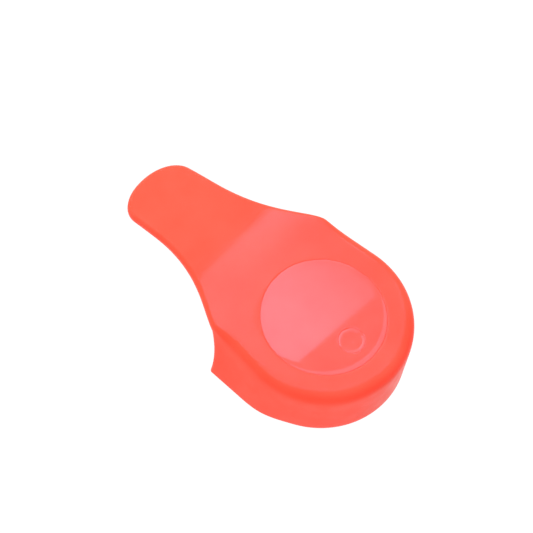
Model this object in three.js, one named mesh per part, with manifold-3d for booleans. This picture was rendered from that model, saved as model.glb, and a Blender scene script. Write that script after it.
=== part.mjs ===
// Bluetooth tracker tag: a round tracker puck held in a silicone sleeve whose thin tail
// folds behind and under the pod. Millimetres, +Z up, tail towards +Y, pod axis at x = y = 0,
// and the underside of the pod on z = 0.
import * as THREE from 'three';
import { mergeVertices } from 'three/addons/utils/BufferGeometryUtils.js';
import Module from 'manifold-3d';

const wasm = await Module();
wasm.setup();

// ---------------------------------------------------------------- driving dimensions
const GAP = 0.3; // clearance between neighbouring pieces

const pod = { height: 14.6, baseR: 19.25, topR: 19.37, crownR: 1.95 };
const wing = { baseX: 20.18, baseY: 12.7, topX: 17.82, topY: 16.23 };
const tail = {
  thick: 2.1, edge: 0.5, startY: 10, endY: 51.0, droop: 6.3,
  neckX: 9.07, neckY: 38.7, tipX: 8.7, tipY: 44.75, foldY1: 20.8, foldY2: 36.7,
};
const peg = { y: 48.9, shaftR: 1.2, headR: 1.6, height: 2.6 };
const pocket = { r: 16.2, lipR: 14.8, lipTop: 1.2, top: pod.height - tail.thick, windowR: 13.5 };

const face = { r: 13.2, top: 14.2, plate: 1.2, innerR: 11.9 };
const puck = { r: 15.9, shoulder: 12.2, parting: 4.9, skirtR: 14.9, bottom: 0.3, flange: 1.5 };
const button = { y: -7.8, r: 2.7, flangeR: 3.5, top: 14.15 };
const board = { r: 14.4, bottom: 7.6, thick: 0.8, screwR: 12.2 };
const screwAngles = [40, 140, 270];
const screwNames = ['rear_right', 'rear_left', 'front'];
const piezo = { y: 3.9, plateR: 7.5, ceramicR: 5.2, top: 12.7 };
const cell = { r: 10, bottom: 2.5, thick: 3.2 };

const door = { r: 11.2, floor: 2.2, neckTop: 5.0, innerR: 10.3, lugR: 12.4, lugLow: 2.6, lugHigh: 3.3 };
const bayonet = { angles: [90, 210, 330], halfLug: 18, turn: 60, lift: 0.5, undercutR: 12.7, ledge: 1.8 };
const grip = { barHalf: 2.9, r: 9.6, depth: 1.0 };
const socket = { y: 8.45, r: 1.85, depth: 1.5 };
const seal = { r: 11.35, tube: 0.3, z: 4.15 };

const boardTop = board.bottom + board.thick;
const deg = (a) => (a * Math.PI) / 180;

// ---------------------------------------------------------------- solid helpers
function solidOf(geometry) {
  const g = geometry.clone();
  g.deleteAttribute('normal');
  g.deleteAttribute('uv');
  const m = mergeVertices(g, 1e-5);
  return new wasm.Manifold(new wasm.Mesh({
    numProp: 3,
    vertProperties: new Float32Array(m.attributes.position.array),
    triVerts: new Uint32Array(m.index.array),
  }));
}

function geometryOf(solid) {
  const mesh = solid.getMesh();
  const g = new THREE.BufferGeometry();
  g.setAttribute('position', new THREE.BufferAttribute(mesh.vertProperties, 3));
  g.setIndex(new THREE.BufferAttribute(mesh.triVerts, 1));
  return g;
}

// A solid of revolution about Z from [radius, z] points that run anticlockwise in the r-z plane.
function turned(points, segments = 64, x = 0, y = 0) {
  const closed = points[0][0] > 1e-6 ? [...points, points[0]] : points;
  const g = new THREE.LatheGeometry(closed.map((p) => new THREE.Vector2(p[0], p[1])), segments);
  g.rotateX(Math.PI / 2);
  g.translate(x, y, 0);
  return solidOf(g);
}

function disc(r, low, high, segments = 48, x = 0, y = 0) {
  return turned([[0, low], [r, low], [r, high], [0, high]], segments, x, y);
}

function ring(inner, outer, low, high, segments = 64) {
  return turned([[inner, low], [outer, low], [outer, high], [inner, high]], segments);
}

function block(sx, sy, low, high, x = 0, y = 0) {
  const g = new THREE.BoxGeometry(sx, sy, high - low);
  g.translate(x, y, (low + high) / 2);
  return solidOf(g);
}

// A solid through a row of sections, each the same number of [x, y, z] points in the same order.
function lofted(sections) {
  const count = sections[0].length;
  const points = sections.flat(2);
  const index = [];
  for (let s = 0; s + 1 < sections.length; s += 1) {
    for (let k = 0; k < count; k += 1) {
      const a = s * count + k;
      const b = s * count + ((k + 1) % count);
      index.push(a, b, a + count, b, b + count, a + count);
    }
  }
  const last = (sections.length - 1) * count;
  for (let k = 1; k + 1 < count; k += 1) {
    index.push(0, k + 1, k, last, last + k, last + k + 1);
  }
  const g = new THREE.BufferGeometry();
  g.setAttribute('position', new THREE.BufferAttribute(new Float32Array(points), 3));
  g.setIndex(index);
  return solidOf(g);
}

// A sector of a ring whose top may slope from one end to the other.
function sector(inner, outer, fromDeg, toDeg, low, topFrom, topTo = topFrom, steps = 8) {
  const sections = [];
  for (let i = 0; i <= steps; i += 1) {
    const t = i / steps;
    const a = deg(fromDeg + (toDeg - fromDeg) * t);
    const top = topFrom + (topTo - topFrom) * t;
    const at = (r, z) => [r * Math.cos(a), r * Math.sin(a), z];
    sections.push([at(inner, low), at(inner, top), at(outer, top), at(outer, low)]);
  }
  return lofted(sections);
}

const group = new THREE.Group();
group.name = 'bluetooth_tracker_tag';

function add(name, solid, look) {
  const material = new THREE.MeshStandardMaterial({
    color: look.color, roughness: look.roughness, metalness: look.metalness ?? 0,
  });
  material.name = look.name;
  const mesh = new THREE.Mesh(geometryOf(solid), material);
  mesh.name = name;
  group.add(mesh);
}

const looks = {
  silicone: { name: 'silicone', color: 0xfa6552, roughness: 0.55 },
  gloss: { name: 'gloss_cover', color: 0xfb6a60, roughness: 0.12 },
  backPlastic: { name: 'back_plastic', color: 0xe9e6e1, roughness: 0.45 },
  doorPlastic: { name: 'door_plastic', color: 0xdedbd6, roughness: 0.4 },
  darkPlastic: { name: 'dark_plastic', color: 0x26272b, roughness: 0.5 },
  seal: { name: 'seal_rubber', color: 0x1d1d1f, roughness: 0.7 },
  laminate: { name: 'board_laminate', color: 0x175c3a, roughness: 0.5 },
  package: { name: 'chip_package', color: 0x1b1c1e, roughness: 0.45 },
  ceramic: { name: 'ceramic', color: 0xdad7cb, roughness: 0.5 },
  ledLens: { name: 'led_lens', color: 0xf3f0c8, roughness: 0.25 },
  steel: { name: 'steel', color: 0xc9cbce, roughness: 0.3, metalness: 1 },
  brass: { name: 'brass', color: 0xc8a458, roughness: 0.35, metalness: 1 },
  goldPlate: { name: 'gold_plate', color: 0xd9b25a, roughness: 0.3, metalness: 1 },
};

// ---------------------------------------------------------------- silicone sleeve and tail
const dropAt = (y) => tail.droop * Math.max(0, (y - wing.topY) / (tail.endY - wing.topY)) ** 2;

// Half-width stations along the tail: shoulder, concave sweep to the neck, then a blunt round tip.
function tailStations() {
  const corner = new THREE.Vector2(wing.topX - 0.3, wing.topY);
  const sweep = new THREE.CubicBezierCurve(
    corner,
    new THREE.Vector2(corner.x - 0.4, corner.y + 2.4),
    new THREE.Vector2(tail.neckX + 0.9, tail.neckY - 14.4),
    new THREE.Vector2(tail.neckX, tail.neckY),
  ).getPoints(16);
  const stations = [[15.2, tail.startY], [15.9, tail.startY + 3.2], [16.9, tail.startY + 5.2]];
  sweep.forEach((p) => stations.push([p.x, p.y]));
  for (let i = 0; i <= 12; i += 1) {
    const t = deg((85 * i) / 12);
    stations.push([tail.tipX * Math.cos(t), tail.tipY + (tail.endY - tail.tipY) * Math.sin(t)]);
  }
  return stations;
}

function strap() {
  return lofted(tailStations().map(([w, y]) => {
    const top = pod.height - dropAt(y);
    const low = top - tail.thick;
    const e = Math.min(tail.edge, w * 0.5);
    return [
      [-w, y, low + e], [-w, y, top - e], [e - w, y, top], [w - e, y, top],
      [w, y, top - e], [w, y, low + e], [w - e, y, low], [e - w, y, low],
    ];
  }));
}

function slab(fromY, toY) {
  return block(60, toY - fromY, -10, 30, 0, (fromY + toY) / 2);
}

// The rounded crown: [inset, z] pairs from the side wall up to the flat top.
function crown(steps = 5) {
  const out = [];
  for (let i = 1; i <= steps; i += 1) {
    const t = deg((90 * i) / steps);
    out.push([pod.crownR * (1 - Math.cos(t)), pod.height - pod.crownR * (1 - Math.sin(t))]);
  }
  return out;
}

function podBarrel() {
  const wall = [[0, 0], [pod.baseR, 0], [pod.topR, pod.height - pod.crownR]];
  const edge = crown().map(([inset, z]) => [pod.topR - inset, z]);
  return turned([...wall, ...edge, [0, pod.height]], 72);
}

// The two rear wings are the corners of one block with a hollow-curved rear face.
function podWings() {
  const outline = (r, x, y, z) => [
    [-r + 4, -4, z], [r - 4, -4, z], [r, 0, z], [x, y, z], [-x, y, z], [-r, 0, z],
  ];
  const sections = [];
  for (let i = 0; i <= 6; i += 1) {
    const u = i / 6;
    const mix = (a, b, t) => a + (b - a) * t;
    sections.push(outline(
      mix(pod.baseR, pod.topR, u), mix(wing.baseX, wing.topX, u),
      mix(wing.baseY, wing.topY, u * u), (pod.height - pod.crownR) * u,
    ));
  }
  crown().forEach(([inset, z]) => {
    sections.push(outline(pod.topR - inset, wing.topX - inset, wing.topY, z));
  });
  return lofted(sections);
}

function pocketCutter() {
  return turned([
    [0, -1], [pocket.lipR, -1], [pocket.lipR, pocket.lipTop], [pocket.r, pocket.lipTop],
    [pocket.r, pocket.top], [pocket.windowR, pocket.top], [pocket.windowR, pod.height - 0.3],
    [pocket.windowR + 0.4, pod.height + 0.1], [0, pod.height + 0.1],
  ], 72);
}

function tailPeg() {
  const y = peg.y;
  const slope = Math.atan((2 * dropAt(y)) / (y - wing.topY));
  const h = peg.height;
  const g = new THREE.LatheGeometry([
    [0, -h], [peg.headR - 0.4, -h], [peg.headR, 0.5 - h], [peg.headR, 1.0 - h],
    [peg.shaftR, 1.3 - h], [peg.shaftR, 0.8], [0, 0.8],
  ].map((p) => new THREE.Vector2(...p)), 24);
  g.rotateX(Math.PI / 2 - slope);
  g.translate(0, y, pod.height - tail.thick - dropAt(y));
  return solidOf(g);
}

function buildSleeve() {
  const whole = strap();
  const half = GAP / 2;
  const root = whole.intersect(slab(0, tail.foldY1 - half));
  add('holder_shell', podBarrel().add(podWings()).add(root).subtract(pocketCutter()), looks.silicone);
  add('tail_middle', whole.intersect(slab(tail.foldY1 + half, tail.foldY2 - half)), looks.silicone);
  add('tail_tip', whole.intersect(slab(tail.foldY2 + half, 60)).add(tailPeg()), looks.silicone);
}

// ---------------------------------------------------------------- puck covers and button
function buildFrontCover() {
  const low = face.top - face.plate;
  const shell = turned([
    [0, low], [face.innerR, low], [face.innerR, puck.shoulder - 1.2],
    [puck.skirtR, puck.shoulder - 1.2], [puck.skirtR, puck.parting], [puck.r, puck.parting],
    [puck.r, puck.shoulder - 0.4], [puck.r - 0.4, puck.shoulder], [face.r, puck.shoulder],
    [face.r, face.top - 0.25], [face.r - 0.25, face.top], [0, face.top],
  ], 72);
  const hole = disc(button.r + GAP, low - 1, face.top + 1, 40, 0, button.y);
  add('front_cover', shell.subtract(hole), looks.gloss);
}

function buildButton() {
  const shoulder = face.top - face.plate - GAP;
  add('button_cap', turned([
    [0, shoulder - 0.85], [1.0, shoulder - 0.85], [1.0, shoulder - 0.55],
    [button.flangeR, shoulder - 0.55], [button.flangeR, shoulder], [button.r, shoulder],
    [button.r, button.top - 0.2], [button.r - 0.2, button.top], [2.0, button.top],
    [1.2, button.top - 0.13], [0, button.top - 0.2],
  ], 36, 0, button.y), looks.gloss);
}

function buildBackCover() {
  const b = bayonet;
  let shell = turned([
    [door.r + GAP, puck.bottom], [pocket.lipR - 0.4, puck.bottom], [pocket.lipR - 0.4, puck.flange],
    [puck.r - 0.4, puck.flange], [puck.r, puck.flange + 0.4], [puck.r, puck.parting - GAP],
    [puck.skirtR - GAP, puck.parting - GAP], [puck.skirtR - GAP, board.bottom - GAP],
    [13.8, board.bottom - GAP], [13.8, 3.6], [b.undercutR, 3.6], [b.undercutR, b.ledge],
    [door.r + GAP, b.ledge],
  ], 72);
  b.angles.forEach((a) => {
    const slot = a - b.turn;
    const half = b.halfLug + 2;
    shell = shell.subtract(sector(door.r, b.undercutR, slot - half, slot + half, -0.5, b.ledge + 0.5));
    const perDeg = b.lift / b.turn;
    const high = door.lugLow - GAP + b.halfLug * perDeg;
    const from = a - b.turn + half + 2;
    const rampLow = high - (a + b.halfLug - from) * perDeg;
    shell = shell.add(sector(
      door.r + GAP + 0.05, b.undercutR + 0.2, from, a + b.halfLug, b.ledge - 0.4, rampLow, high,
    ));
  });
  add('back_cover', shell, looks.backPlastic);
}

// ---------------------------------------------------------------- battery door
function buildBatteryDoor() {
  const d = door;
  const neckR = seal.r - seal.tube - GAP;
  let body = turned([
    [0, 0], [d.r - 0.4, 0], [d.r, 0.4], [d.r, 3.6], [neckR, 3.6], [neckR, 4.65],
    [d.r, 4.65], [d.r, d.neckTop], [d.innerR, d.neckTop], [d.innerR, d.floor], [0, d.floor],
  ], 60);
  bayonet.angles.forEach((a) => {
    body = body.add(sector(d.r - 0.4, d.lugR, a - bayonet.halfLug, a + bayonet.halfLug, d.lugLow, d.lugHigh));
  });
  const recess = disc(grip.r, -1, grip.depth, 64).subtract(block(2 * grip.barHalf, 30, -2, 3));
  body = body.subtract(recess).subtract(disc(socket.r, -1, socket.depth, 28, 0, socket.y));
  add('battery_door', body, looks.doorPlastic);
}

function buildDoorSeal() {
  const points = [];
  for (let i = 0; i < 8; i += 1) {
    const t = deg(45 * i);
    points.push([seal.r + seal.tube * Math.cos(t), seal.z + seal.tube * Math.sin(t)]);
  }
  add('door_seal', turned(points, 48), looks.seal);
}

// ---------------------------------------------------------------- battery, carrier and contacts
function buildCell() {
  const top = cell.bottom + cell.thick;
  add('cell_can', turned([
    [0, cell.bottom], [cell.r - 0.3, cell.bottom], [cell.r, cell.bottom + 0.3], [cell.r, top - 0.45],
    [cell.r - 0.25, top - 0.2], [9.1, top - 0.2], [9.1, top - 0.6], [0, top - 0.6],
  ], 48), looks.steel);
  add('cell_cap', turned([
    [0, top - 0.3], [8.7, top - 0.3], [8.7, top - 0.1], [8.5, top], [0, top],
  ], 40), looks.steel);
}

function screwSpot(angle) {
  return [board.screwR * Math.cos(deg(angle)), board.screwR * Math.sin(deg(angle))];
}

function buildCarrier() {
  const sealR = seal.r + seal.tube + GAP;
  const high = board.bottom - GAP;
  let body = turned([
    [sealR, 3.9], [13.5, 3.9], [13.5, high], [10.9, high], [10.9, 5.3], [sealR, 5.3],
  ], 60);
  screwAngles.forEach((a) => {
    body = body.subtract(disc(0.9, 5.6, high + 1, 20, ...screwSpot(a)));
  });
  add('battery_carrier', body, looks.darkPlastic);
}

function buildContacts() {
  let cone = turned([
    [0, 6.0], [1.4, 6.0], [5.2, 6.95], [5.2, 7.2], [1.4, 6.25], [0, 6.25],
  ], 36);
  [0, 120, 240].forEach((a) => {
    cone = cone.subtract(sector(1.9, 4.4, a - 16, a + 16, 5.5, 7.8));
  });
  add('contact_negative', cone, looks.goldPlate);
  const leg = block(0.25, 2.4, 5.2, 7.25, -10.425, 0);
  const tab = block(2.2, 2.4, 7.0, 7.25, -9.45, 0);
  add('contact_positive', leg.add(tab), looks.goldPlate);
}

// ---------------------------------------------------------------- circuit board and what it carries
function buildBoard() {
  let body = disc(board.r, board.bottom, boardTop, 64);
  screwAngles.forEach((a) => {
    body = body.subtract(disc(0.9, board.bottom - 1, boardTop + 1, 20, ...screwSpot(a)));
  });
  add('circuit_board', body, looks.laminate);
}

function buildScrews() {
  const low = boardTop + GAP;
  screwAngles.forEach((a, i) => {
    const [x, y] = screwSpot(a);
    const body = turned([
      [0, 5.9], [0.35, 5.9], [0.6, 6.2], [0.6, low], [1.2, low], [1.2, low + 0.4],
      [0.95, low + 0.6], [0, low + 0.6],
    ], 20, x, y);
    const slot = block(1.5, 0.3, low + 0.3, low + 1, x, y);
    add(`board_screw_${screwNames[i]}`, body.subtract(slot), looks.steel);
  });
}

function buildChips() {
  const low = boardTop + GAP;
  const chips = [
    ['radio_chip', 5, 5, 0.9, -7.2, -1.5, looks.package],
    ['memory_chip', 4, 3, 0.8, 7.4, -2.6, looks.package],
    ['crystal', 3.2, 2.5, 0.8, -6.6, -6.6, looks.steel],
    ['chip_antenna', 6, 2, 1.2, 0, 12.4, looks.ceramic],
    ['status_led', 1.6, 0.8, 0.7, 5.0, -9.0, looks.ledLens],
  ];
  chips.forEach(([name, sx, sy, h, x, y, look]) => add(name, block(sx, sy, low, low + h, x, y), look));
}

function buildSwitch() {
  const low = boardTop + GAP;
  add('switch_body', block(4.6, 4.6, low, 10.6, 0, button.y), looks.package);
  add('switch_plunger', disc(1.15, 10.9, 11.42, 24, 0, button.y), looks.ceramic);
}

// A coil spring standing on the board.
function coil(x, y, low, high) {
  const wire = 0.2;
  const coilR = 0.7;
  const turns = 4;
  const points = [];
  for (let i = 0; i <= 48; i += 1) {
    const t = i / 48;
    const a = 2 * Math.PI * turns * t;
    const z = low + wire + (high - low - 2 * wire) * t;
    points.push(new THREE.Vector3(x + coilR * Math.cos(a), y + coilR * Math.sin(a), z));
  }
  const section = new THREE.Shape(new THREE.EllipseCurve(0, 0, wire, wire).getPoints(5).slice(0, 5));
  return solidOf(new THREE.ExtrudeGeometry(section, {
    steps: 48, bevelEnabled: false, extrudePath: new THREE.CatmullRomCurve3(points),
  }));
}

function buildBuzzer() {
  const plateLow = piezo.top - 0.3;
  const ceramicTop = plateLow - GAP;
  add('buzzer_plate', disc(piezo.plateR, plateLow, piezo.top, 56, 0, piezo.y), looks.brass);
  add('buzzer_ceramic', disc(piezo.ceramicR, ceramicTop - 0.25, ceramicTop, 48, 0, piezo.y), looks.ceramic);
  const low = boardTop + GAP;
  add('buzzer_spring_outer', coil(-6.3, 5.5, low, plateLow - GAP), looks.goldPlate);
  add('buzzer_spring_centre', coil(0, piezo.y, low, ceramicTop - 0.25 - GAP), looks.goldPlate);
}

buildSleeve();
buildFrontCover();
buildButton();
buildBackCover();
buildBatteryDoor();
buildDoorSeal();
buildCell();
buildCarrier();
buildContacts();
buildBoard();
buildScrews();
buildChips();
buildSwitch();
buildBuzzer();

export default group;
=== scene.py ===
"""Looks for the bluetooth tracker tag: silicone sleeve with its folding tail, glossy face, button,
back cover and battery door. Lengths are in millimetres until a mesh is made, then in metres."""
import math

import bmesh
import bpy
import numpy as np
from mathutils import Matrix, Vector


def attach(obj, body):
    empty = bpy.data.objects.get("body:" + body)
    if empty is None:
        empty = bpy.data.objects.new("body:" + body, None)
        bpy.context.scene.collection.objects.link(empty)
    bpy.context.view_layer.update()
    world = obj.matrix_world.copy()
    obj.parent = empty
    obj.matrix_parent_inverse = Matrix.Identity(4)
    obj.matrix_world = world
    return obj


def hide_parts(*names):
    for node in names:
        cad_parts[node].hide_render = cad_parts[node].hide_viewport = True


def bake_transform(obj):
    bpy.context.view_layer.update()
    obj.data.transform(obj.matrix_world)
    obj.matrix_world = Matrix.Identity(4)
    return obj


MM = 0.001

# ------------------------------------------------------------------ dimensions shared with the CAD part
GAP = 0.3  # clearance round the door
H = 14.6
CROWN = 1.95  # above H - CROWN the outline of wall and wings no longer changes
BASE_CORNER = (20.18, 12.7)  # the wings' rear corner at the foot
TOP_CORNER = (17.82, 16.23)  # and at the top, where the tail starts to droop
THICK = 2.1
DROOP, TAIL_END = 6.3, 51.0
NECK = (9.07, 38.7)
TIP = (8.7, 44.75)
PEG_Y, PEG_H, PEG_SHAFT_R, PEG_HEAD_R = 48.9, 2.6, 1.2, 1.6
WINDOW_R = 13.5
LIP_R, LIP_TOP, POCKET_R = 14.8, 1.2, 16.2
PUCK_R, PUCK_BOTTOM = 15.9, 0.3
SHOULDER, PARTING, FLANGE = 12.2, 4.9, 1.5  # heights on the puck's outside
SKIRT_R, PLATE_R, PLATE_BOTTOM = 14.9, 11.9, 13.0  # inside the front cover
BUTTON_Y, BUTTON_FLANGE_R = -7.8, 3.5
DOOR_R, DOOR_FLOOR, DOOR_TOP, DOOR_INNER_R = 11.2, 2.2, 5.0, 10.3
LUG_ANGLES, HALF_LUG, DOOR_TURN = (90, 210, 330), 18, 60
LUG_R, LUG_LOW, LUG_HIGH = 12.4, 2.6, 3.3
UNDERCUT_R, LEDGE = 12.7, 1.8  # of the back cover, over which the lugs turn
GRIP_R, GRIP_DEPTH, BAR_HALF = 9.6, 1.0, 2.9
SOCKET_Y, SOCKET_R, SOCKET_DEPTH = 8.45, 1.85, 1.5
SEAL_R, SEAL_TUBE, SEAL_Z = 11.35, 0.3, 4.15

# ------------------------------------------------------------------ the sleeve's look
BASE_R, TOP_R = 19.12, 19.45  # the pod's round front; the CAD has 19.25 and 19.37
BASE_SIDE = 20.38  # half-width of the foot, whose sides run straight from the front's round to the wings
WIDEN_FROM, WIDEN_OVER = math.radians(-26), math.radians(32)  # start and length of the widening
FOOT_TOUCH = math.radians(8)  # angle where the widened front ends at the foot
CROWN_SHAPE = (3.8, 4.3, 4.4)  # reach, height and squareness of the pod's soft crown
TAIL_CROWN_SHAPE = (0.9, 0.95, 2.0)  # the same along the tail's upper edge
CROWN_CHANGE_Y, CROWN_CHANGE_OVER = 8.5, 7.5  # where the first shape turns into the second
REAR_R = (19.25, 19.37)  # radius of the pod's rear bulge at the foot and at the top
REAR_HOLLOW = math.radians(11)  # how far the hollow rear face reaches into the bulge
SWEEP_PULL = (4.0, 14.4)  # how straight the sweep from wing to tail leaves the wing and joins the neck
TIP_SQUARENESS = 2.1  # 2 would make the tail's tip an ellipse
UNDER_EDGE = 0.7  # rounding of the tail's lower edge
CORNER_R = (0.7, 1.6)  # rounding of the wings' trailing edges at the foot and at the top
FOOT_R = 0.4  # rounding of the pod's lower edge
LIP_EDGE = 0.25  # rounding of the opening underneath
WINDOW_EDGE = 0.03  # rounding of the window's edge
SEAM_Y = 28.0  # where the skin changes from one piece to the next
SPAN = 14  # mesh columns from the tail's edge to its middle line
LADDER_Y = 15.0  # where the top's mesh changes from bands round the window to rungs
UNDER_COLUMNS = 14  # edge columns between the wing's corner and the first rung under the tail
EDGE_COLUMNS = 8  # edge columns over which the tail's lower rounding grows from the wing's corner

# ------------------------------------------------------------------ the face's, button's and door's look
FACE_TOP = 14.6  # flush with the sleeve; the CAD keeps its face 0.4 mm lower
FLAT_R = 12.0  # the face is flat inside this radius, and falls away softly outside it
RIM_R, RIM_EDGE, FALL = 13.49, 0.02, 0.02
SKIRT_TOP = 11.0  # where the space inside the front cover widens downwards
SHOULDER_EDGE = 0.4
HOLE_R, HOLE_EDGE = 2.9, 0.05
BUTTON_R, BUTTON_EDGE = 2.885, 0.05
RING_R, RING_HALF, RING_HEIGHT = 2.5, 0.3, 0.008  # the raised ring on the button
DIMPLE_R, DIMPLE_DEPTH = 1.0, 0.003
SLOT_PLAY = 2  # in degrees, at each side of a lug
GROOVE_R, GROOVE_LOW, GROOVE_HIGH = 10.75, 3.6, 4.65  # for the door's seal
DOOR_EDGE = 0.16
ROUND = 144  # mesh columns round the face and the seal

# ------------------------------------------------------------------ light, in metres and watts
FLOOR_HALF, FLOOR_Z = 6.0, -0.00012  # just clear of the tag's flat underside
FLOOR_GLOW = 1.0
WORLD_LIGHT = 0.85
BOX_HEIGHT, BOX_WIDTH = 1.5, 1.3
BOX_GLOW = ((10.0, 2.6), (6.5, 20.0))  # near edge left and right, far edge left and right
BOX_COLOUR = (0.92, 0.68, 1.0, 1)
STRIP_GLOW = ((6.0, 6.0), (6.0, 6.0))
STRIP_GAP, STRIP_DEPTH = 0.028, 0.12
FADE_FROM, FADE_TO = -0.4, 1.1  # where the glow changes, from the middle, as shares of the length seen
PANELS = [  # name, width, depth, watts, place, and degrees turned and tipped
    ("back_panel", 3.2, 1.5, 62.0, (0.95, 1.35, 0.85), (-35, -62)),
    ("side_panel", 1.6, 1.0, 17.0, (-1.9, 0.33, 0.7), (80, -70)),
]
FACE_LINE = ((-10, -3.0), (10, -4.5))  # in mm, where the softbox's near edge shows in the glossy face
TAIL_POINT = (5, 25.1)  # in mm, where its far edge shows in the tail

# ------------------------------------------------------------------ camera
CAMERA_ANGLES = (-60.158, 63.384, 12.726)  # azimuth, elevation and roll in degrees
CAMERA_AIM, CAMERA_DISTANCE = (0, 12, 4), 1000
CAMERA_SHIFT = (-2.026, 7.755)  # to the picture's right and up
LENS, SENSOR = 318.0, 36.0


# ------------------------------------------------------------------ mesh helpers
WELD, SLIVER = 0.004, 0.003  # points closer than the first are one; shorter edges than the second go


class Skin:
    """Collects a mesh as grids of points in millimetres and welds them into one object."""

    def __init__(self):
        self.bm = bmesh.new()
        self.tail = self.bm.faces.layers.int.new("tail")

    def grid(self, rows, flip=False, closed=False, beyond=None):
        """Faces between rows of points. beyond(row, column) says which of them belong to the tail."""
        made = [[self.bm.verts.new(Vector(p) * MM) for p in row] for row in rows]
        for r in range(len(made) - 1):
            count = len(made[r])
            for c in range(count if closed else count - 1):
                d = (c + 1) % count
                quad = [made[r][c], made[r][d], made[r + 1][d], made[r + 1][c]]
                face = self.bm.faces.new(quad[::-1] if flip else quad)
                face[self.tail] = 1 if beyond and beyond(r, c) else 0

    def fan(self, row, flip=False):
        """Closes a loop of points with one flat face."""
        verts = [self.bm.verts.new(Vector(p) * MM) for p in row]
        self.bm.faces.new(verts[::-1] if flip else verts)

    def mirror(self):
        """Adds the left half: the same faces across the plane x = 0."""
        whole = self.bm.verts[:] + self.bm.edges[:] + self.bm.faces[:]
        made = bmesh.ops.duplicate(self.bm, geom=whole)["geom"]
        for v in (g for g in made if isinstance(g, bmesh.types.BMVert)):
            v.co.x = -v.co.x
        faces = [g for g in made if isinstance(g, bmesh.types.BMFace)]
        bmesh.ops.reverse_faces(self.bm, faces=faces)

    def finish(self, name, sharp=50):
        bmesh.ops.remove_doubles(self.bm, verts=self.bm.verts, dist=WELD * MM)
        bmesh.ops.dissolve_degenerate(self.bm, edges=self.bm.edges, dist=SLIVER * MM)
        return linked(self.bm, name, sharp)


def linked(bm, name, sharp=50):
    """Puts a bmesh into the scene as a smooth-shaded object with sharp edges kept sharp."""
    limit = math.radians(sharp)
    bm.normal_update()
    for f in bm.faces:
        f.smooth = True
    for e in bm.edges:
        if len(e.link_faces) == 2:
            e.smooth = e.calc_face_angle(0) < limit
    mesh = bpy.data.meshes.new(name)
    bm.to_mesh(mesh)
    bm.free()
    obj = bpy.data.objects.new(name, mesh)
    bpy.context.collection.objects.link(obj)
    return obj


def arc(cx, cz, r, start, stop, steps=5):
    """Points of an arc in a profile, angles in degrees from the outward radius."""
    angles = np.radians(np.linspace(start, stop, steps + 1))
    return [(cx + r * math.cos(a), cz + r * math.sin(a)) for a in angles]


def circle(r, z, count, y=0.0):
    angles = np.linspace(0, 2 * math.pi, count, endpoint=False)
    return [(r * math.cos(a), y + r * math.sin(a), z) for a in angles]


def turned(skin, profile, count, y=0.0):
    """Adds a surface of revolution about a vertical line, from (radius, z) points going anticlockwise."""
    skin.grid([circle(r, z, count, y) for r, z in profile], closed=True)


# ------------------------------------------------------------------ the sleeve's outline
def drop(y):
    """How far the tail has sunk below the pod's top."""
    t = max(0.0, (y - TOP_CORNER[1]) / (TAIL_END - TOP_CORNER[1]))
    return DROOP * t * t


def smooth(t):
    """Eases from 0 to 1 as t does, and stays there outside."""
    t = min(1.0, max(0.0, t))
    return t * t * (3 - 2 * t)


def polar(r, angle):
    return np.array([math.cos(angle), math.sin(angle)]) * r


def plan_at(z):
    """How far z is up the wall, and the pod's rear corner at that height."""
    u = min(1.0, z / (H - CROWN))
    corner = np.array([
        BASE_CORNER[0] + (TOP_CORNER[0] - BASE_CORNER[0]) * u,
        BASE_CORNER[1] + (TOP_CORNER[1] - BASE_CORNER[1]) * u * u,
    ])
    return u, corner


def pod_radius(angle, u):
    """The round front widens at the foot into straight sides, and is a plain circle at the top."""
    widen = smooth((angle - WIDEN_FROM) / WIDEN_OVER)
    foot = BASE_R + (BASE_SIDE / math.cos(max(angle, 0)) - BASE_R) * widen
    return foot + (TOP_R - foot) * u


def corner_rounding(u):
    return CORNER_R[0] + (CORNER_R[1] - CORNER_R[0]) * u


def side_line(z):
    """Where the round ends, where the rear corner's rounding starts, and the way between them."""
    u, corner = plan_at(z)
    top_touch = math.atan2(TOP_CORNER[1], TOP_CORNER[0]) - math.acos(TOP_R / math.hypot(*TOP_CORNER))
    touch = FOOT_TOUCH + (top_touch - FOOT_TOUCH) * u
    start = polar(pod_radius(touch, u), touch)
    along = (corner - start) / np.linalg.norm(corner - start)
    return touch, start, corner - along * corner_rounding(u), along


def side_outline(z, inset=0.0, columns=44, line=14):
    """From the front middle round the right side, to where the rear corner's rounding starts."""
    u, _ = plan_at(z)
    touch, start, stop, along = side_line(z)
    shift = np.array([-along[1], along[0]]) * inset
    angles = np.linspace(-math.pi / 2, touch, columns)[:-1]
    out = [polar(pod_radius(a, u) - inset, a) for a in angles]
    return out + [start + (stop - start) * k / line + shift for k in range(line + 1)]


def quadratic(a, b, c, steps):
    """Points of the curve from a to c whose ends aim at b."""
    ts = np.linspace(0, 1, steps + 1)
    return [a * (1 - t) ** 2 + b * 2 * t * (1 - t) + c * t * t for t in ts]


def rear_outline(z, inset=0.0, rounding=5, hollow=8, bulge=15):
    """On from side_outline: rounded corner, hollow rear face, then the pod's round back to x = 0."""
    u, corner = plan_at(z)
    r = REAR_R[0] + (REAR_R[1] - REAR_R[0]) * u
    along = side_line(z)[3]
    outward = np.array([along[1], -along[0]])
    soft = corner_rounding(u)
    start = corner - along * soft - outward * inset
    tip = corner - outward * inset
    tip[1] = corner[1] - inset
    face = tip - np.array([soft, 0.0])
    out = quadratic(start, tip, face, rounding)
    end = math.asin(corner[1] / r) + REAR_HOLLOW
    inner = r - inset
    bend = np.array([(inner - tip[1] * math.sin(end)) / math.cos(end), tip[1]])
    out += quadratic(face, bend, polar(inner, end), hollow)[1:]
    return out + [polar(inner, a) for a in np.linspace(end, math.pi / 2, bulge + 1)[1:]]


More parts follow.
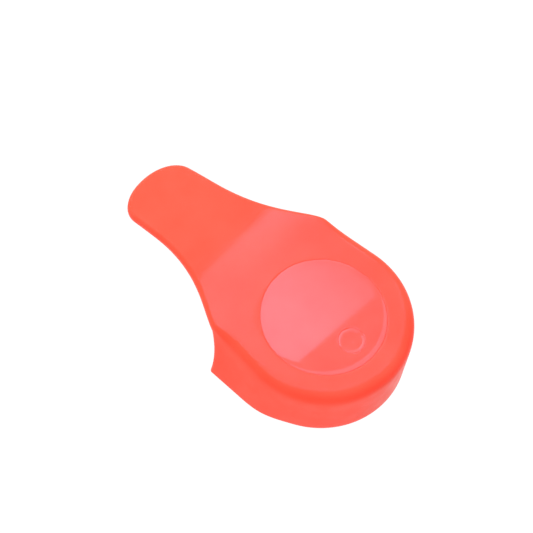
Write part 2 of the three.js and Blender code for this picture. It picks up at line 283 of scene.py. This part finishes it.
def tail_outline(sweep=36, straight=8, tip=22):
    """From the rear corner along the tail's right edge to the middle of its tip: a sweep to the
    neck, a straight stretch, and a quarter of a superellipse."""
    _, _, start, along = side_line(H)
    neck, shoulder = np.array(NECK), np.array(TIP)
    slope = (shoulder - neck) / (shoulder[1] - neck[1])
    guide = [start, start + along * SWEEP_PULL[0], neck - slope * SWEEP_PULL[1], neck]
    weights = [lambda t: (1 - t) ** 3, lambda t: 3 * t * (1 - t) ** 2,
               lambda t: 3 * t * t * (1 - t), lambda t: t**3]
    out = []
    for t in np.linspace(0, 1, sweep + 1)[1:]:
        out.append(sum(w(t) * g for w, g in zip(weights, guide)))
    out += [neck + (shoulder - neck) * k / straight for k in range(1, straight + 1)]
    square = 2 / TIP_SQUARENESS
    for a in np.linspace(0, math.pi / 2, tip + 1)[1:]:
        x, y = max(math.cos(a), 0) ** square, math.sin(a) ** square
        out.append(np.array([TIP[0] * x, TIP[1] + (TAIL_END - TIP[1]) * y]))
    return out


def inward_normals(points):
    """Unit vectors to the inside of the outline. The first and last point along the middle line."""
    d = np.gradient(np.array(points), axis=0)
    d[0], d[-1] = (1, 0), (-1, 0)
    d /= np.linalg.norm(d, axis=1)[:, None]
    return np.stack([-d[:, 1], d[:, 0]], axis=1)


# ------------------------------------------------------------------ the sleeve's surfaces
class Sleeve:
    """The silicone sleeve, built as its right half and mirrored."""

    def __init__(self):
        side = side_outline(H)
        self.corner = len(side) - 1
        self.outline = side + tail_outline()
        self.inward = inward_normals(self.outline)
        self.seam = next(i for i, p in enumerate(self.outline) if p[1] > SEAM_Y)
        self.skin = Skin()

    def crown_rows(self, steps=16):
        """Rows from the foot of the soft upper edge to the flat top. Its section is a superellipse."""
        rows = []
        for t in np.linspace(0, 1, steps + 1):
            a = math.pi / 2 * smooth(t)
            row = []
            for c, (p, n) in enumerate(zip(self.outline, self.inward)):
                mix = smooth((p[1] - CROWN_CHANGE_Y) / CROWN_CHANGE_OVER)
                reach, high, square = (
                    i + (j - i) * mix for i, j in zip(CROWN_SHAPE, TAIL_CROWN_SHAPE))
                below = high * (1 - math.sin(a) ** (2 / square))
                if c <= self.corner:
                    p = side_outline(H - below)[c]
                x, y = p + n * reach * (1 - max(math.cos(a), 0) ** (2 / square))
                row.append((max(x, 0.0), y, H - below - drop(y)))
            rows.append(row)
        return rows

    def ladder(self, edge, first, flip=False):
        """Rungs from an edge line to the middle line x = 0. first is the outline column of rung 0."""
        rows = [[(x * (1 - k / SPAN), y, z) for k in range(SPAN + 1)] for x, y, z in edge]
        self.skin.grid(rows, flip=flip, beyond=lambda r, c: first + r >= self.seam)

    def top(self, rim, bands=5):
        """The flat top: bands round the window and behind it, then a ladder along the tail."""
        turn = next(i for i, p in enumerate(rim) if p[1] > LADDER_Y)
        r = WINDOW_R + WINDOW_EDGE
        spokes = [(math.atan2(y, x), x, y) for x, y, _ in rim[: turn + 1]]
        first, x0, y0 = spokes[-1]
        for k in range(1, SPAN + 1):
            a = first + (math.pi / 2 - first) * k / SPAN
            spokes.append((a, x0 * (1 - k / SPAN), y0))
        rows = []
        for t in np.linspace(0, 1, bands + 1):
            rows.append([
                (x + (r * math.cos(a) - x) * t, y + (r * math.sin(a) - y) * t, H)
                for a, x, y in spokes
            ])
        self.skin.grid(rows)
        wall = arc(r, H - WINDOW_EDGE, WINDOW_EDGE, 90, 180) + [(WINDOW_R, H - THICK - 0.1)]
        self.skin.grid([[(q * math.cos(a), q * math.sin(a), z) for a, _, _ in spokes] for q, z in wall])
        self.ladder(rim[turn:], turn, flip=True)

    def tail_edge(self, foot):
        """The tail's side below its crown, and the rounding that turns in under it."""
        joint = (*side_outline(H - THICK)[-1], H - THICK)
        rows = [foot[self.corner:]]
        for a in np.linspace(0, math.pi / 2, 6):
            row = [joint]
            for i in range(self.corner + 1, len(self.outline)):
                e = UNDER_EDGE * smooth((i - self.corner) / EDGE_COLUMNS)
                x, y = self.outline[i] + self.inward[i] * e * (1 - math.cos(a))
                row.append((max(x, 0.0), y, H - THICK + e * (1 - math.sin(a)) - drop(y)))
            rows.append(row)
        self.skin.grid(rows, flip=True, beyond=lambda r, c: self.corner + c >= self.seam)
        return rows[-1]

    def underside(self, edge, rear):
        """Under the tail: from the pod's rear wall out to the first rung, then a ladder to the tip."""
        m = UNDER_COLUMNS
        x0, y0, z0 = edge[m]
        target = edge[: m + 1] + [(x0 * (1 - k / SPAN), y0, z0) for k in range(1, SPAN + 1)]
        rows = []
        for t in np.linspace(0, 1, 4):
            rows.append([tuple(np.array(a) + (np.array(b) - a) * t) for a, b in zip(rear, target)])
        self.skin.grid(rows)
        self.ladder(edge[m:], self.corner + m)

    def wall(self, foot, levels=9):
        """The pod's side, its hollow rear faces, its lower edge, flat underside and inner lip."""
        top = foot[: self.corner + 1]
        shelf = H - THICK
        starts = [min(p[2], shelf) for p in top]
        self.skin.grid([top, [(*side_outline(z)[c], z) for c, z in enumerate(starts)]], flip=True)
        rows = []
        for t in np.linspace(0, 1, levels):
            heights = [z + (FOOT_R - z) * t for z in starts]
            row = [(*side_outline(z)[c], z) for c, z in enumerate(heights)]
            rows.append(row + [(*p, heights[-1]) for p in rear_outline(heights[-1])[1:]])
        for a in np.linspace(0, math.pi / 2, 5)[1:]:
            inset, z = FOOT_R * (1 - math.cos(a)), FOOT_R * (1 - math.sin(a))
            rows.append([(*p, z) for p in side_outline(z, inset) + rear_outline(z, inset)[1:]])
        angles = [math.atan2(y, x) for x, y, _ in rows[-1]]
        reach = LIP_R + LIP_EDGE
        base = rows[-1]
        for t in (0.34, 0.67):
            rows.append([
                (x + (reach * math.cos(a) - x) * t, y + (reach * math.sin(a) - y) * t, 0.0)
                for (x, y, _), a in zip(base, angles)
            ])
        lip = arc(reach, LIP_EDGE, LIP_EDGE, 270, 180, 4) + [(LIP_R, LIP_TOP), (POCKET_R, LIP_TOP)]
        for r, z in lip:
            rows.append([(r * math.cos(a), r * math.sin(a), z) for a in angles])
        self.skin.grid(rows, flip=True)
        return rows[0][self.corner:]

    def build(self):
        rows = self.crown_rows()
        self.skin.grid(rows, beyond=lambda r, c: c >= self.seam)
        self.top(rows[-1])
        edge = self.tail_edge(rows[0])
        rear = self.wall(rows[0])
        self.underside(edge, rear)
        self.skin.mirror()
        return self.skin.finish("sleeve_pod", sharp=55)


def keep_faces(obj, value):
    """Keeps the faces whose tail mark is value, and drops the mark."""
    bm = bmesh.new()
    bm.from_mesh(obj.data)
    mark = bm.faces.layers.int["tail"]
    bmesh.ops.delete(bm, geom=[f for f in bm.faces if f[mark] != value], context="FACES")
    bm.faces.layers.int.remove(mark)
    bm.to_mesh(obj.data)
    bm.free()


def make_sleeve(material):
    pod = Sleeve().build()
    tail = pod.copy()
    tail.data = pod.data.copy()
    tail.name = tail.data.name = "sleeve_tail"
    bpy.context.collection.objects.link(tail)
    keep_faces(pod, 0)
    keep_faces(tail, 1)
    for obj in (pod, tail):
        obj.data.materials.append(material)
    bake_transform(pod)
    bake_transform(tail)
    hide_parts("holder_shell", "tail_middle")
    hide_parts("tail_tip")


def make_peg(material):
    """The mushroom peg under the tail's tip, with a round foot that runs into the tail."""
    nose, brow, neck, foot = 0.5, 0.25, 0.15, 0.5
    brim, root = 1.0 - PEG_H, 0.35
    profile = [(0.0, -PEG_H), (1.0, -PEG_H)] + arc(PEG_HEAD_R - nose, nose - PEG_H, nose, -90, 0)
    profile += arc(PEG_HEAD_R - brow, brim, brow, 0, 90, 3)
    profile += arc(PEG_SHAFT_R + neck, brim + brow + neck, neck, 270, 180, 3)
    profile += [(PEG_SHAFT_R, -foot)] + arc(PEG_SHAFT_R + foot, -foot, foot, 180, 90, 5)
    profile += [(PEG_SHAFT_R + foot, root), (0.0, root)]
    skin = Skin()
    turned(skin, profile, count=48)
    peg = skin.finish("sleeve_peg", sharp=70)
    slope = math.atan(2 * drop(PEG_Y) / (PEG_Y - TOP_CORNER[1]))
    place = Vector((0, PEG_Y, H - THICK - drop(PEG_Y))) * MM
    peg.matrix_world = Matrix.Translation(place) @ Matrix.Rotation(-slope, 4, "X")
    peg.data.materials.append(material)
    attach(peg, "tail_tip_body")


# ------------------------------------------------------------------ glossy face and button
def make_face(material):
    """The puck's glossy front cover: flat face with the button's hole, soft shoulder, and skirt."""
    rows = []
    for t in (0, 0.02, 0.2, 0.4, 0.6, 0.8, 0.98, 1):
        r = FLAT_R + (HOLE_R + HOLE_EDGE - FLAT_R) * t
        rows.append(circle(r, FACE_TOP, ROUND, BUTTON_Y * t))
    hole = arc(HOLE_R + HOLE_EDGE, FACE_TOP - HOLE_EDGE, HOLE_EDGE, 90, 180, 4)[1:]
    for r, z in hole + [(HOLE_R, PLATE_BOTTOM)]:
        rows.append(circle(r, z, ROUND, BUTTON_Y))
    for t in np.linspace(1, 0, 4):
        rows.append(circle(PLATE_R + (HOLE_R - PLATE_R) * t, PLATE_BOTTOM, ROUND, BUTTON_Y * t))
    inside = [(PLATE_R, SKIRT_TOP), (SKIRT_R, SKIRT_TOP), (SKIRT_R, PARTING), (PUCK_R, PARTING)]
    shoulder = arc(PUCK_R - SHOULDER_EDGE, SHOULDER - SHOULDER_EDGE, SHOULDER_EDGE, 0, 90, 4)
    rim = arc(RIM_R - RIM_EDGE, FACE_TOP - FALL - RIM_EDGE, RIM_EDGE, 0, 65, 4)
    rows += [circle(r, z, ROUND) for r, z in inside + shoulder + [(RIM_R, SHOULDER)] + rim]
    for t in np.linspace(0.12, 1, 8):
        r = RIM_R - RIM_EDGE + (FLAT_R - RIM_R + RIM_EDGE) * t
        rows.append(circle(r, FACE_TOP - FALL * (1 - t) ** 3, ROUND))
    skin = Skin()
    skin.grid(rows, closed=True)
    face = skin.finish("face_cover", sharp=40)
    face.data.materials.append(material)
    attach(face, "sleeve_and_puck")
    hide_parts("front_cover")


def make_button(material):
    """The button cap: a low rounded ring on a flat top with a shallow plain dimple, a flange, and
    a nub underneath."""
    nub_r, nub_bottom, flange_bottom, flange_top = 1.0, 11.85, 12.15, 12.7
    profile = [(0.0, nub_bottom), (nub_r, nub_bottom), (nub_r, flange_bottom),
               (BUTTON_FLANGE_R, flange_bottom), (BUTTON_FLANGE_R, flange_top), (BUTTON_R, flange_top)]
    profile += arc(BUTTON_R - BUTTON_EDGE, FACE_TOP - BUTTON_EDGE, BUTTON_EDGE, 0, 90, 4)
    for t in np.linspace(1, -1, 11):
        profile.append((RING_R + RING_HALF * t, FACE_TOP + RING_HEIGHT * (1 - t * t) ** 2))
    profile += [(RING_R - RING_HALF - 0.1, FACE_TOP), (DIMPLE_R + 0.1, FACE_TOP)]
    for t in np.linspace(0, 1, 6):
        profile.append((DIMPLE_R * (1 - t), FACE_TOP - DIMPLE_DEPTH * smooth(t)))
    skin = Skin()
    turned(skin, profile, count=96, y=BUTTON_Y)
    cap = skin.finish("button_top", sharp=40)
    cap.data.materials.append(material)
    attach(cap, "button")
    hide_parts("button_cap")


# ------------------------------------------------------------------ back cover and battery door
def in_sector(angle, centre, half):
    """Whether angle is less than half from centre, in degrees."""
    return abs((angle - centre + 180) % 360 - 180) < half


def make_back(material):
    """The puck's back cover: a smooth flange with three slots that let the door's lugs out."""
    slots = [a - DOOR_TURN for a in LUG_ANGLES]
    half = HALF_LUG + SLOT_PLAY
    count = 360
    angles = [360 * k / count for k in range(count)]
    bore = [UNDERCUT_R if any(in_sector(a, s, half) for s in slots) else DOOR_R + GAP for a in angles]
    soft = [sum(bore[(k + d) % count] for d in (-1, 0, 1)) / 3 for k in range(count)]

    def ring(radii, z):
        return [
            (r * math.cos(math.radians(a)), r * math.sin(math.radians(a)), z)
            for a, r in zip(angles, radii)
        ]

    def same(r):
        return [r] * count

    edge = 0.25
    rows = [ring(soft, LEDGE), ring(soft, PUCK_BOTTOM + edge), ring([r + 0.07 for r in soft], 0.37),
            ring([r + edge for r in soft], PUCK_BOTTOM)]
    groove = [(13.2, PUCK_BOTTOM), (13.45, 0.42), (13.6, 0.42), (13.85, PUCK_BOTTOM)]
    rounded = arc(14.15, PUCK_BOTTOM + edge, edge, 270, 360, 4)
    outside = [(14.4, FLANGE), (15.5, FLANGE), (PUCK_R, 1.9), (PUCK_R, 4.6)]
    collar = [(14.6, 4.6), (14.6, 7.3), (13.8, 7.3), (13.8, 3.6), (12.75, 3.6), (12.75, LEDGE)]
    rows += [ring(same(r), z) for r, z in groove + rounded + outside + collar]
    rows.append(ring(soft, LEDGE))
    skin = Skin()
    skin.grid(rows, closed=True)
    back = skin.finish("back_shell", sharp=35)
    back.data.materials.append(material)
    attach(back, "sleeve_and_puck")
    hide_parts("back_cover")


def solid_disc(name, r, low, high, y=0.0, count=128):
    skin = Skin()
    turned(skin, [(0.0, low), (r, low), (r, high), (0.0, high)], count, y)
    return skin.finish(name)


def solid_block(name, sx, sy, low, high):
    skin = Skin()
    ends = [(-sx, -sy), (sx, -sy), (sx, sy), (-sx, sy)]
    skin.grid([[(x, y, z) for x, y in ends] for z in (low, high)], closed=True)
    skin.fan([(x, y, low) for x, y in ends], flip=True)
    skin.fan([(x, y, high) for x, y in ends])
    return skin.finish(name)


def combine(obj, tool, operation):
    """Cuts tool from obj or joins it on, with the result applied and the tool removed."""
    step = obj.modifiers.new(operation, "BOOLEAN")
    step.operation, step.object, step.solver = operation, tool, "EXACT"
    settled(obj)
    bpy.data.objects.remove(tool)


def settled(obj):
    """Applies obj's modifiers to its mesh."""
    graph = bpy.context.evaluated_depsgraph_get()
    mesh = bpy.data.meshes.new_from_object(obj.evaluated_get(graph))
    obj.modifiers.clear()
    obj.data = mesh


def make_door(material):
    """The battery door: a cup with a finger bar between two crescents, a closed socket for the
    tail's peg, a seal groove and three bayonet lugs."""
    profile = [(0.0, 0.0), (DOOR_R, 0.0), (DOOR_R, GROOVE_LOW), (GROOVE_R, GROOVE_LOW),
               (GROOVE_R, GROOVE_HIGH), (DOOR_R, GROOVE_HIGH), (DOOR_R, DOOR_TOP),
               (DOOR_INNER_R, DOOR_TOP), (DOOR_INNER_R, DOOR_FLOOR), (0.0, DOOR_FLOOR)]
    skin = Skin()
    turned(skin, profile, 120)
    door = skin.finish("door_shell")
    recess = solid_disc("recess", GRIP_R, -1.0, GRIP_DEPTH)
    combine(recess, solid_block("bar", BAR_HALF, 15, -2, 3), "DIFFERENCE")
    combine(door, recess, "DIFFERENCE")
    socket = solid_disc("socket", SOCKET_R, -1.0, SOCKET_DEPTH, y=SOCKET_Y, count=48)
    combine(door, socket, "DIFFERENCE")
    sunk_r = 10.8
    loop = [(sunk_r, LUG_LOW), (LUG_R, LUG_LOW), (LUG_R, LUG_HIGH), (sunk_r, LUG_HIGH)]
    for centre in LUG_ANGLES:
        lug = Skin()
        angles = np.radians(np.linspace(centre - HALF_LUG, centre + HALF_LUG, 17))
        rows = [[(r * math.cos(a), r * math.sin(a), z) for r, z in loop] for a in angles]
        lug.grid(rows, closed=True, flip=True)
        lug.fan(rows[0])
        lug.fan(rows[-1], flip=True)
        combine(door, lug.finish("lug"), "UNION")
    edge = door.modifiers.new("edges", "BEVEL")
    edge.width, edge.segments = DOOR_EDGE * MM, 3
    edge.limit_method, edge.angle_limit = "ANGLE", math.radians(40)
    settled(door)
    bm = bmesh.new()
    bm.from_mesh(door.data)
    bpy.data.objects.remove(door)
    door = linked(bm, "door_shell", sharp=40)
    door.data.materials.append(material)
    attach(door, "door")
    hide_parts("battery_door")


def make_seal(material):
    """The O-ring in the door's groove."""
    tube = arc(SEAL_R, SEAL_Z, SEAL_TUBE, 0, 360, 14)
    skin = Skin()
    turned(skin, tube[:-1] + tube[:1], ROUND)
    seal = skin.finish("door_o_ring", sharp=180)
    seal.data.materials.append(material)
    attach(seal, "door_carriage")
    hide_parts("door_seal")


# ------------------------------------------------------------------ materials
class Look:
    """A Principled material whose colour, roughness and relief come from noise in object space."""

    def __init__(self, name, **sockets):
        self.material = bpy.data.materials.new(name)
        self.material.use_nodes = True
        self.tree = self.material.node_tree
        self.shader = self.tree.nodes["Principled BSDF"]
        for key, value in sockets.items():
            self.shader.inputs[key.replace("_", " ")].default_value = value
        self.place = self.node("ShaderNodeTexCoord").outputs["Object"]

    def node(self, kind, **values):
        made = self.tree.nodes.new(kind)
        for key, value in values.items():
            if key in made.inputs:
                made.inputs[key].default_value = value
            else:
                setattr(made, key, value)
        return made

    def link(self, a, b):
        self.tree.links.new(a, b)

    def scaled(self, size_mm, stretch=(1, 1, 1)):
        """Object coordinates in which a texture's features are about size_mm across."""
        mapping = self.node("ShaderNodeMapping")
        self.link(self.place, mapping.inputs["Vector"])
        mapping.inputs["Scale"].default_value = [s / (size_mm * MM) for s in stretch]
        return mapping.outputs["Vector"]

    def noise(self, size_mm, detail=3.0, stretch=(1, 1, 1)):
        place = self.scaled(size_mm, stretch)
        texture = self.node("ShaderNodeTexNoise", Scale=1.0, Detail=detail)
        self.link(place, texture.inputs["Vector"])
        return texture.outputs["Fac"]

    def cells(self, size_mm, feature="F1"):
        place = self.scaled(size_mm)
        texture = self.node("ShaderNodeTexVoronoi", Scale=1.0)
        texture.feature = feature
        self.link(place, texture.inputs["Vector"])
        return texture.outputs["Distance"]

    def ramp(self, source, *stops):
        """A colour ramp from (position, colour) stops."""
        ramp = self.node("ShaderNodeValToRGB")
        elements = ramp.color_ramp.elements
        for element, (position, _) in zip(elements, (stops[0], stops[-1])):
            element.position = position
        for position, _ in stops[1:-1]:
            elements.new(position)
        for element, (_, colour) in zip(elements, stops):
            element.color = (*colour, 1)
        self.link(source, ramp.inputs["Fac"])
        return ramp.outputs["Color"]

    def spread(self, source, low, high, start=0.3, stop=0.7):
        """Maps start..stop, by default the middle of a noise's range, onto low..high."""
        node = self.node("ShaderNodeMapRange", interpolation_type="SMOOTHSTEP")
        for key, value in zip(("From Min", "From Max", "To Min", "To Max"), (start, stop, low, high)):
            node.inputs[key].default_value = value
        self.link(source, node.inputs["Value"])
        return node.outputs["Result"]

    def multiply(self, a, b):
        node = self.node("ShaderNodeMix", data_type="RGBA", blend_type="MULTIPLY")
        factor, first, second = (node.inputs[k] for k in (0, 6, 7))
        factor.default_value = 1.0
        self.link(a, first)
        self.link(b, second)
        return node.outputs[2]

    def relief(self, source, height_mm, strength):
        bump = self.node("ShaderNodeBump", Strength=strength, Distance=height_mm * MM)
        self.link(source, bump.inputs["Height"])
        self.link(bump.outputs["Normal"], self.shader.inputs["Normal"])

    def colour(self, output):
        self.link(output, self.shader.inputs["Base Color"])

    def rough(self, output):
        self.link(output, self.shader.inputs["Roughness"])


def silicone_look():
    """Satin coral silicone with faint darker specks and a fine skin."""
    look = Look("silicone", IOR=1.42, Specular_IOR_Level=0.1, Coat_Weight=0.18, Coat_Roughness=0.105)
    tone = look.ramp(look.noise(9, 2.0), (0.3, (0.97, 0.055, 0.026)), (0.7, (0.99, 0.065, 0.034)))
    specks = look.ramp(look.noise(0.35, 2.0), (0.28, (0.86, 0.86, 0.86)), (0.36, (1, 1, 1)))
    look.colour(look.multiply(tone, specks))
    look.rough(look.spread(look.noise(3, 4.0), 0.40, 0.50))
    look.relief(look.noise(0.12, 3.0), 0.004, 0.5)
    return look.material


def gloss_look():
    """Smooth coral plastic under a glossy coat."""
    look = Look("gloss_cover", IOR=1.5, Coat_Weight=0.36, Coat_Roughness=0.02, Specular_IOR_Level=0.08)
    look.colour(look.ramp(look.noise(7, 2.0), (0.3, (0.95, 0.058, 0.036)), (0.7, (0.98, 0.068, 0.044))))
    look.rough(look.spread(look.noise(6, 1.0), 0.22, 0.26))
    return look.material


def plastic_look(name, dark, light, rough, grain_mm, height_mm):
    """Moulded plastic with a spark-eroded grain."""
    look = Look(name)
    look.colour(look.ramp(look.noise(2.5, 5.0), (0.3, dark), (0.7, light)))
    look.rough(look.spread(look.noise(1.2, 3.0), rough - 0.06, rough + 0.06))
    look.relief(look.cells(grain_mm), height_mm, 0.6)
    return look.material


def metal_look(name, dark, light, rough, stretch):
    """Rolled or brushed metal with fine lines one way."""
    look = Look(name, Metallic=1.0)
    lines = look.noise(0.5, 4.0, stretch)
    look.colour(look.ramp(lines, (0.3, dark), (0.7, light)))
    look.rough(look.spread(look.noise(0.8, 3.0, stretch), rough - 0.08, rough + 0.1))
    look.relief(lines, 0.004, 0.5)
    return look.material


def laminate_look():
    """Green solder mask over copper tracks."""
    look = Look("board_laminate", Coat_Weight=0.4)
    tracks = look.ramp(
        look.cells(2.2, "DISTANCE_TO_EDGE"), (0.05, (0.05, 0.24, 0.11)), (0.09, (0.012, 0.11, 0.05)))
    weave = look.ramp(look.noise(0.5, 2.0), (0.4, (0.85, 0.85, 0.85)), (0.6, (1, 1, 1)))
    look.colour(look.multiply(tracks, weave))
    look.rough(look.spread(look.noise(1.0), 0.3, 0.42))
    look.relief(look.cells(2.2, "DISTANCE_TO_EDGE"), 0.03, 0.3)
    return look.material


def lens_look():
    """Pale yellow, half clear."""
    look = Look("led_lens", Transmission_Weight=0.4, IOR=1.5)
    look.colour(look.ramp(look.noise(0.6), (0.3, (0.85, 0.80, 0.45)), (0.7, (0.95, 0.92, 0.62))))
    look.rough(look.spread(look.noise(0.3), 0.15, 0.25))
    look.relief(look.noise(0.2), 0.002, 0.4)
    return look.material


def dress_frame(nodes, looks):
    """Gives the CAD nodes that stay their materials."""
    wear = {
        "steel": ["cell_can", "cell_cap", "crystal", "board_screw_rear_right",
                  "board_screw_rear_left", "board_screw_front"],
        "gold_plate": ["contact_negative", "contact_positive", "buzzer_spring_outer",
                       "buzzer_spring_centre"],
        "brass": ["buzzer_plate"],
        "ceramic": ["buzzer_ceramic", "chip_antenna", "switch_plunger"],
        "chip_package": ["radio_chip", "memory_chip", "switch_body"],
        "led_lens": ["status_led"],
        "dark_plastic": ["battery_carrier"],
        "board_laminate": ["circuit_board"],
    }
    for slot, names in wear.items():
        for name in names:
            node = nodes[name]
            node.data.materials.clear()
            node.data.materials.append(looks[slot])


# ------------------------------------------------------------------ floor, lights and camera
def make_floor():
    """A plain floor that shines white by its own light, as an overlit paper sweep does. From below,
    the camera sees through it to the underside."""
    mesh = bpy.data.meshes.new("floor")
    h, z = FLOOR_HALF, FLOOR_Z
    mesh.from_pydata([(-h, -h, z), (h, -h, z), (h, h, z), (-h, h, z)], [], [(0, 1, 2, 3)])
    floor = bpy.data.objects.new("floor", mesh)
    bpy.context.collection.objects.link(floor)
    look = Look("floor", Roughness=1.0, Specular_IOR_Level=0.0, Emission_Strength=FLOOR_GLOW)
    look.shader.inputs["Base Color"].default_value = (0.03, 0.03, 0.03, 1)
    look.shader.inputs["Emission Color"].default_value = (1, 1, 1, 1)
    clear = look.node("ShaderNodeBsdfTransparent")
    side = look.node("ShaderNodeNewGeometry")
    both = look.node("ShaderNodeMixShader")
    look.link(side.outputs["Backfacing"], both.inputs[0])
    look.link(look.shader.outputs[0], both.inputs[1])
    look.link(clear.outputs[0], both.inputs[2])
    look.link(both.outputs[0], look.tree.nodes["Material Output"].inputs["Surface"])
    mesh.materials.append(look.material)


def mirrored(x, y, z, slope):
    """The point at the softbox's height that the camera sees reflected in the surface at x, y, z."""
    point = Vector((x, y, z)) * MM
    normal = Vector((0, slope, 1)).normalized()
    ray = (point - bpy.context.scene.camera.matrix_world.translation).normalized()
    bounced = ray - 2 * ray.dot(normal) * normal
    return point + bounced * (BOX_HEIGHT - point.z) / bounced.z


def panel(name, width, depth, watts, place, angles):
    """A rectangle of light, turned about the vertical and then tipped. It isn't seen in gloss."""
    data = bpy.data.lights.new(name, "AREA")
    data.shape, data.size, data.size_y, data.energy = "RECTANGLE", width, depth, watts
    light = bpy.data.objects.new(name, data)
    bpy.context.collection.objects.link(light)
    turned_by, tipped_by = map(math.radians, angles)
    turn = Matrix.Rotation(turned_by, 4, "Z") @ Matrix.Rotation(tipped_by, 4, "X")
    light.matrix_world = Matrix.Translation(place) @ turn
    light.visible_camera = light.visible_glossy = False


def make_softbox():
    """A wide shallow softbox above and behind, with an even strip in front of it. The softbox's near
    edge shows in the face and its far edge in the tail, and the strip shows in the face's rim."""
    left, right = (mirrored(x, y, FACE_TOP, 0) for x, y in FACE_LINE)
    x, y = TAIL_POINT
    step = 0.5
    slope = (drop(y + step) - drop(y - step)) / (2 * step)
    far = mirrored(x, y, H - drop(y), slope)
    along = (right - left).normalized()
    across = Vector((-along.y, along.x, 0))
    depth = (far - left).dot(across)
    middle = (left + right) / 2
    turn = Matrix.Rotation(math.atan2(along.y, along.x), 4, "Z")
    reach = (right - left).length
    glowing("softbox", BOX_WIDTH, depth, BOX_GLOW, reach,
            Matrix.Translation(middle + across * depth / 2) @ turn)
    glowing("strip", BOX_WIDTH, STRIP_DEPTH, STRIP_GLOW, reach,
            Matrix.Translation(middle - across * (STRIP_GAP + STRIP_DEPTH / 2)) @ turn)


def glowing(name, width, depth, strengths, reach, place):
    """A sheet that glows. Each long edge, near and far, goes from its left strength to its right one,
    and reach is the length that shows in the face."""
    x, y = width / 2, depth / 2
    mesh = bpy.data.meshes.new(name)
    mesh.from_pydata([(-x, -y, 0), (-x, y, 0), (x, y, 0), (x, -y, 0)], [], [(0, 1, 2, 3)])
    sheet = bpy.data.objects.new(name, mesh)
    bpy.context.collection.objects.link(sheet)
    sheet.matrix_world = place
    sheet.visible_camera = False
    look = Look(name, Base_Color=(0, 0, 0, 1), Specular_IOR_Level=0.0, Emission_Color=BOX_COLOUR)
    split = look.node("ShaderNodeSeparateXYZ")
    look.link(look.place, split.inputs[0])
    fades = (FADE_FROM * reach, FADE_TO * reach)
    blend = look.node("ShaderNodeMix", data_type="FLOAT")
    look.link(look.spread(split.outputs["Y"], 0, 1, -y, y), blend.inputs[0])
    for socket, (left, right) in zip(blend.inputs[2:4], strengths):
        look.link(look.spread(split.outputs["X"], left, right, *fades), socket)
    look.link(blend.outputs[0], look.shader.inputs["Emission Strength"])
    mesh.materials.append(look.material)


def make_lights():
    world = bpy.data.worlds.new("studio")
    bpy.context.scene.world = world
    world.use_nodes = True
    world.node_tree.nodes["Background"].inputs["Color"].default_value = (1, 1, 1, 1)
    world.node_tree.nodes["Background"].inputs["Strength"].default_value = WORLD_LIGHT
    make_softbox()
    for values in PANELS:
        panel(*values)


def make_camera():
    """A long lens that looks down on the tag from its front left, a little rolled."""
    azimuth, elevation, roll = map(math.radians, CAMERA_ANGLES)
    back = Vector((math.sin(azimuth) * math.cos(elevation),
                   -math.cos(azimuth) * math.cos(elevation), math.sin(elevation)))
    level = Vector((math.cos(azimuth), math.sin(azimuth), 0))
    upright = back.cross(level)
    right = level * math.cos(roll) + upright * math.sin(roll)
    up = upright * math.cos(roll) - level * math.sin(roll)
    data = bpy.data.cameras.new("camera")
    data.lens, data.sensor_width = LENS, SENSOR
    data.clip_start, data.clip_end = 0.01, 20.0
    camera = bpy.data.objects.new("camera", data)
    bpy.context.collection.objects.link(camera)
    place = Vector(CAMERA_AIM) + back * CAMERA_DISTANCE + right * CAMERA_SHIFT[0] + up * CAMERA_SHIFT[1]
    turn = Matrix((right, up, back)).transposed()
    camera.matrix_world = Matrix.Translation(place * MM) @ turn.to_4x4()
    bpy.context.scene.camera = camera


# ------------------------------------------------------------------ the scene
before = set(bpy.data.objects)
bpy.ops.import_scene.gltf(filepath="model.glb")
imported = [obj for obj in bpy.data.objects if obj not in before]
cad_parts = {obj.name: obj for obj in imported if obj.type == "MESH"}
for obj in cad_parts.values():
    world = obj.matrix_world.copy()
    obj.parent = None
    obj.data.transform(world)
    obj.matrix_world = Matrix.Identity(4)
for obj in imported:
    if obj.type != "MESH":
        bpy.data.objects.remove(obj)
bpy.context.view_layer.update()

make_camera()
make_floor()
make_lights()

near_black = ((0.010, 0.010, 0.011), (0.022, 0.022, 0.024))
looks = {
    "silicone": silicone_look(),
    "gloss_cover": gloss_look(),
    "back_plastic": plastic_look("back_plastic", (0.74, 0.73, 0.71), (0.82, 0.81, 0.79), 0.42, 0.12, 0.01),
    "door_plastic": plastic_look(
        "door_plastic", (0.66, 0.65, 0.63), (0.74, 0.73, 0.71), 0.36, 0.16, 0.008),
    "dark_plastic": plastic_look("dark_plastic", *near_black, 0.5, 0.15, 0.01),
    "seal_rubber": plastic_look(
        "seal_rubber", (0.008, 0.008, 0.008), (0.016, 0.016, 0.017), 0.66, 0.2, 0.006),
    "chip_package": plastic_look("chip_package", *near_black, 0.55, 0.06, 0.006),
    "ceramic": plastic_look("ceramic", (0.62, 0.60, 0.54), (0.74, 0.72, 0.66), 0.5, 0.1, 0.004),
    "led_lens": lens_look(),
    "board_laminate": laminate_look(),
    "steel": metal_look("steel", (0.50, 0.51, 0.53), (0.70, 0.71, 0.73), 0.28, (1, 12, 1)),
    "brass": metal_look("brass", (0.60, 0.42, 0.15), (0.78, 0.58, 0.26), 0.3, (1, 10, 1)),
    "gold_plate": metal_look("gold_plate", (0.72, 0.48, 0.14), (0.88, 0.64, 0.26), 0.25, (1, 1, 1)),
}

make_sleeve(looks["silicone"])
make_peg(looks["silicone"])
make_face(looks["gloss_cover"])
make_button(looks["gloss_cover"])
make_back(looks["back_plastic"])
make_door(looks["door_plastic"])
make_seal(looks["seal_rubber"])
dress_frame(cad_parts, looks)

scene = bpy.context.scene
scene.view_settings.view_transform = "Standard"
